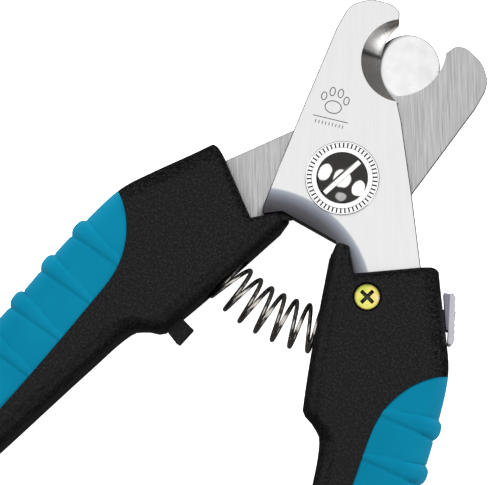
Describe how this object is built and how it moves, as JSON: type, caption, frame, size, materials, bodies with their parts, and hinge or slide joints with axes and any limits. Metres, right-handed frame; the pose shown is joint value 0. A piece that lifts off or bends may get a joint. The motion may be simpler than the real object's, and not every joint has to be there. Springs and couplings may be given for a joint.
{
  "type": "pet nail clipper",
  "caption": "Plier-style pet nail clipper with crossing notched blades, stop disc, arc spring, slide lock and rubber-gripped handles.",
  "frame": {"origin": "centre of the open clipper's bounding box, on the table face", "axes": "+Y towards the blades along the closed line, +X to the right handle, +Z out of the front face"},
  "size_m": [0.1104, 0.143, 0.015],
  "materials": {
    "front_blade": "satin, ground",
    "rear_blade": "brushed",
    "pivot_screw": "polished",
    "pivot_washer": "turned, serrated rim",
    "pivot_nut": "plain",
    "friction_washer": "plain",
    "safety_stop": "polished",
    "right_front_shell": "fine grain",
    "right_rear_shell": "fine grain",
    "right_grip": "soft matte",
    "left_front_shell": "fine grain",
    "left_rear_shell": "fine grain",
    "left_grip": "soft matte",
    "right_head_screw": "yellow zinc",
    "left_head_screw": "yellow zinc",
    "right_tail_screw": "yellow zinc",
    "left_tail_screw": "yellow zinc",
    "right_tang_pin": "plain",
    "left_tang_pin": "plain",
    "right_spring_seat": "plain",
    "left_spring_seat": "plain",
    "return_spring": "dark wire",
    "lock_slider": "satin grey",
    "lock_detent_spring": "plain",
    "catch_block": "plain"
  },
  "bodies": {
    "right_half": {"front_blade": "front_blade", "pivot_screw": "pivot_screw", "pivot_washer": "pivot_washer", "pivot_nut": "pivot_nut", "friction_washer": "friction_washer", "right_front_shell": "right_front_shell", "right_rear_shell": "right_rear_shell", "right_grip": "right_grip", "right_head_screw": "right_head_screw", "right_tail_screw": "right_tail_screw", "right_tang_pin": "right_tang_pin", "right_spring_seat": "right_spring_seat", "return_spring": "return_spring", "lock_detent_spring": "lock_detent_spring"},
    "left_half": {"rear_blade": "rear_blade", "left_front_shell": "left_front_shell", "left_rear_shell": "left_rear_shell", "left_grip": "left_grip", "left_head_screw": "left_head_screw", "left_tail_screw": "left_tail_screw", "left_tang_pin": "left_tang_pin", "left_spring_seat": "left_spring_seat", "catch_block": "catch_block"},
    "stop": {"safety_stop": "safety_stop"},
    "lock": {"lock_slider": "lock_slider"}
  },
  "joints": [
    {"name": "handle_pivot", "type": "hinge", "parent": "right_half", "child": "left_half", "pos_m": [0, 0.04022, 0.0075], "axis": [0, 0, 1], "range_deg": [0, 38.6], "stiffness_Nm_per_rad": 0.12, "springref_deg": -28.65, "deforming": ["return_spring"]},
    {"name": "stop_swing", "type": "hinge", "parent": "right_half", "child": "stop", "pos_m": [0, 0.04022, 0.0037], "axis": [0, 0, 1], "range_deg": [-60, 0]},
    {"name": "lock_slide", "type": "slide", "parent": "right_half", "child": "lock", "axis": [0.5525, -0.8335, 0], "range_m": [0, 0.00268]}
  ]
}
